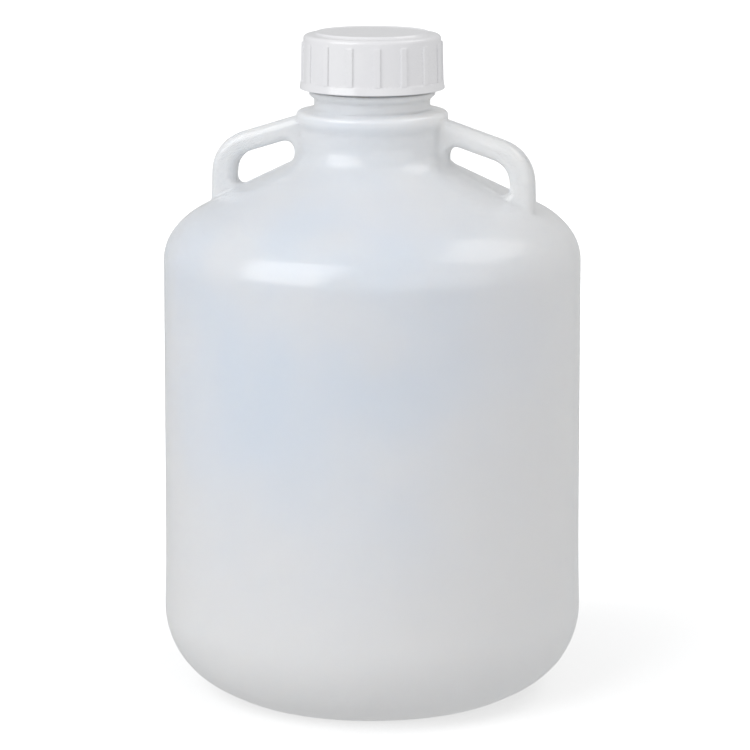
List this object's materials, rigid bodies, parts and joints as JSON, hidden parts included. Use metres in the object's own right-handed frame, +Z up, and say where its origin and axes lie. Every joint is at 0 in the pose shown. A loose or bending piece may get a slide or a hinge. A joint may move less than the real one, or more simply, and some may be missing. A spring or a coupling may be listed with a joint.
{
  "type": "carboy",
  "caption": "Round blow-moulded plastic carboy with a flat-ringed base, two hollow handles on its shoulder and a wide neck closed by a ribbed screw cap over a sealing ring.",
  "frame": {"origin": "on the bottle's axis, in the plane of the ring that it stands on", "axes": "+Z up along the bottle's axis, +X and -X towards the two handles"},
  "size_m": [0.2862, 0.2862, 0.4526],
  "materials": {
    "bottle": "satin, milky and slightly translucent, natural polypropylene",
    "cap": "smooth moulded white, low gloss",
    "gasket": "matt pale elastomer"
  },
  "bodies": {
    "bottle": {"bottle": "bottle"},
    "gasket": {"gasket": "gasket"},
    "cap": {"cap": "cap"}
  },
  "joints": [
    {"name": "cap_lift", "type": "slide", "parent": "bottle", "child": "gasket", "axis": [0, 0, 1], "range_m": [0, 0.0421]},
    {"name": "cap_turn", "type": "hinge", "parent": "gasket", "child": "cap", "pos_m": [0, 0, 0.43], "axis": [0, 0, 1], "range_deg": [0, 2520]}
  ],
  "couplings": [
    {"joint": "cap_lift", "follows": "cap_turn", "m_per_rad": 0.00095493}
  ]
}
